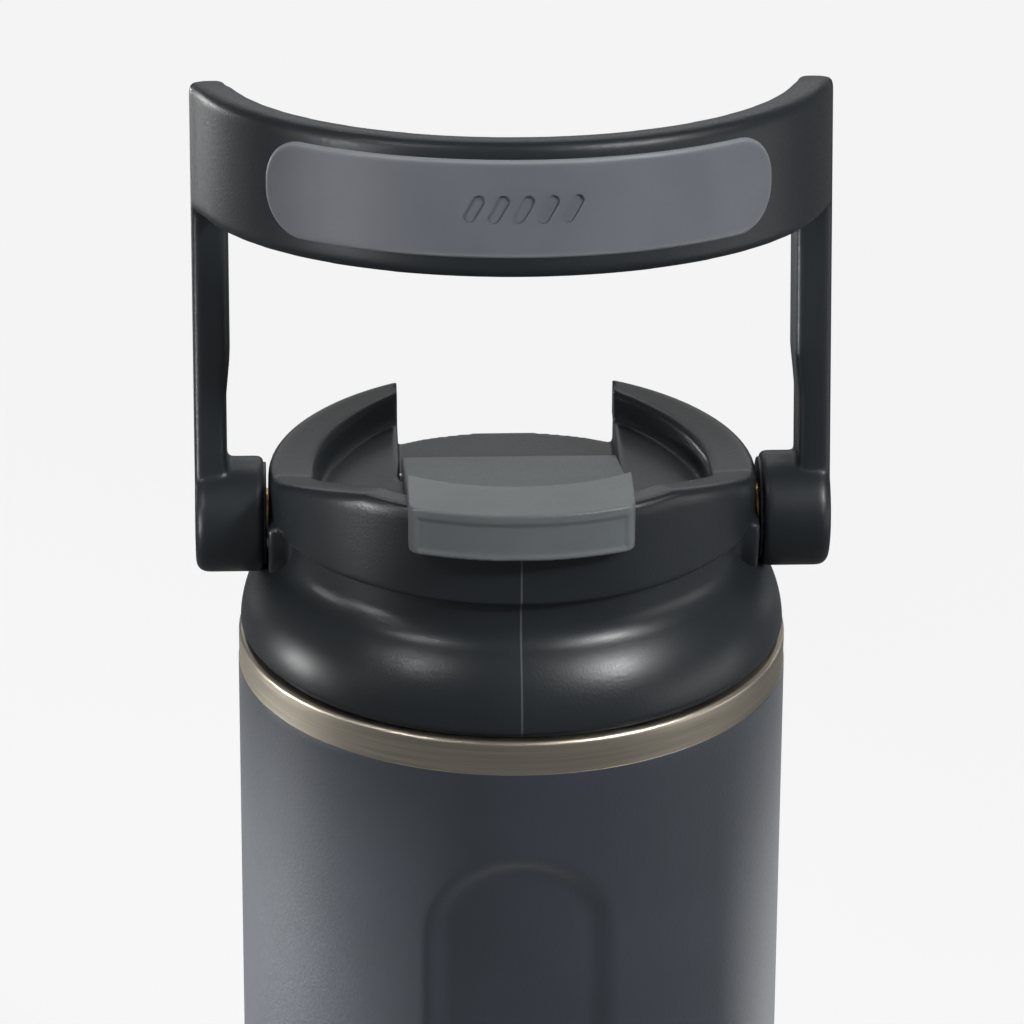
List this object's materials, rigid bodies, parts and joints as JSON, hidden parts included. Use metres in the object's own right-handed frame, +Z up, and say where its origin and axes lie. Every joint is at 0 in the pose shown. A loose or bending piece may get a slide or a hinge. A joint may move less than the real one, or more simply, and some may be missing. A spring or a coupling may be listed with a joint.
{
  "type": "growler",
  "caption": "Vacuum-insulated steel growler with a screw-in lid, flip lever over the spout and a swinging carry handle with a soft grip.",
  "frame": {"origin": "centre of the flat face the growler stands on", "axes": "+Z up along the bottle's axis; the spout and grip face -Y; +X is the growler's left-hand handle arm seen from behind"},
  "size_m": [0.14, 0.122, 0.3452],
  "materials": {
    "coated_steel": "textured dark slate powder coat",
    "bare_steel": "brushed stainless",
    "solder": "dull sealing drop",
    "base_rubber": "matte rubber",
    "silicone": "translucent grey silicone",
    "dark_plastic": "satin moulded plastic",
    "grey_plastic": "satin grey plastic",
    "grip_rubber": "soft grey over-mould",
    "foam": "closed-cell insulation",
    "brass": "turned brass"
  },
  "bodies": {
    "bottle": {"outer_shell": "coated_steel", "outer_bottom": "bare_steel", "inner_liner": "bare_steel", "liner_bottom": "bare_steel", "getter_capsule": "bare_steel", "vacuum_seal": "solder", "base_pad": "base_rubber"},
    "gasket": {"lid_gasket": "silicone"},
    "lid": {"lid_shell": "dark_plastic", "lid_plug": "dark_plastic", "lid_foam": "foam", "spout_tube": "dark_plastic", "lever_pin": "bare_steel", "pivot_insert_left": "brass", "pivot_insert_right": "brass", "pivot_screw_left": "bare_steel", "pivot_screw_right": "bare_steel", "pivot_washer_left": "brass", "pivot_washer_right": "brass"},
    "lever": {"flip_lever": "grey_plastic", "spout_seal": "silicone", "seal_screw": "bare_steel"},
    "handle": {"handle_bail": "dark_plastic", "grip_pad": "grip_rubber", "pivot_cap_left": "dark_plastic", "pivot_cap_right": "dark_plastic"}
  },
  "joints": [
    {"name": "lid_rise", "type": "slide", "parent": "bottle", "child": "gasket", "axis": [0, 0, 1], "range_m": [0, 0.008]},
    {"name": "lid_turn", "type": "hinge", "parent": "gasket", "child": "lid", "pos_m": [0, 0, 0.212], "axis": [0, 0, 1], "range_deg": [0, 450]},
    {"name": "lever_flip", "type": "hinge", "parent": "lid", "child": "lever", "pos_m": [0, 0.015, 0.2398], "axis": [1, 0, 0], "range_deg": [-156, 0]},
    {"name": "handle_swing", "type": "hinge", "parent": "lid", "child": "handle", "pos_m": [0, 0, 0.2389], "axis": [1, 0, 0], "range_deg": [-168, 98]}
  ],
  "couplings": [
    {"joint": "lid_rise", "follows": "lid_turn", "m_per_rad": 0.00095493}
  ]
}
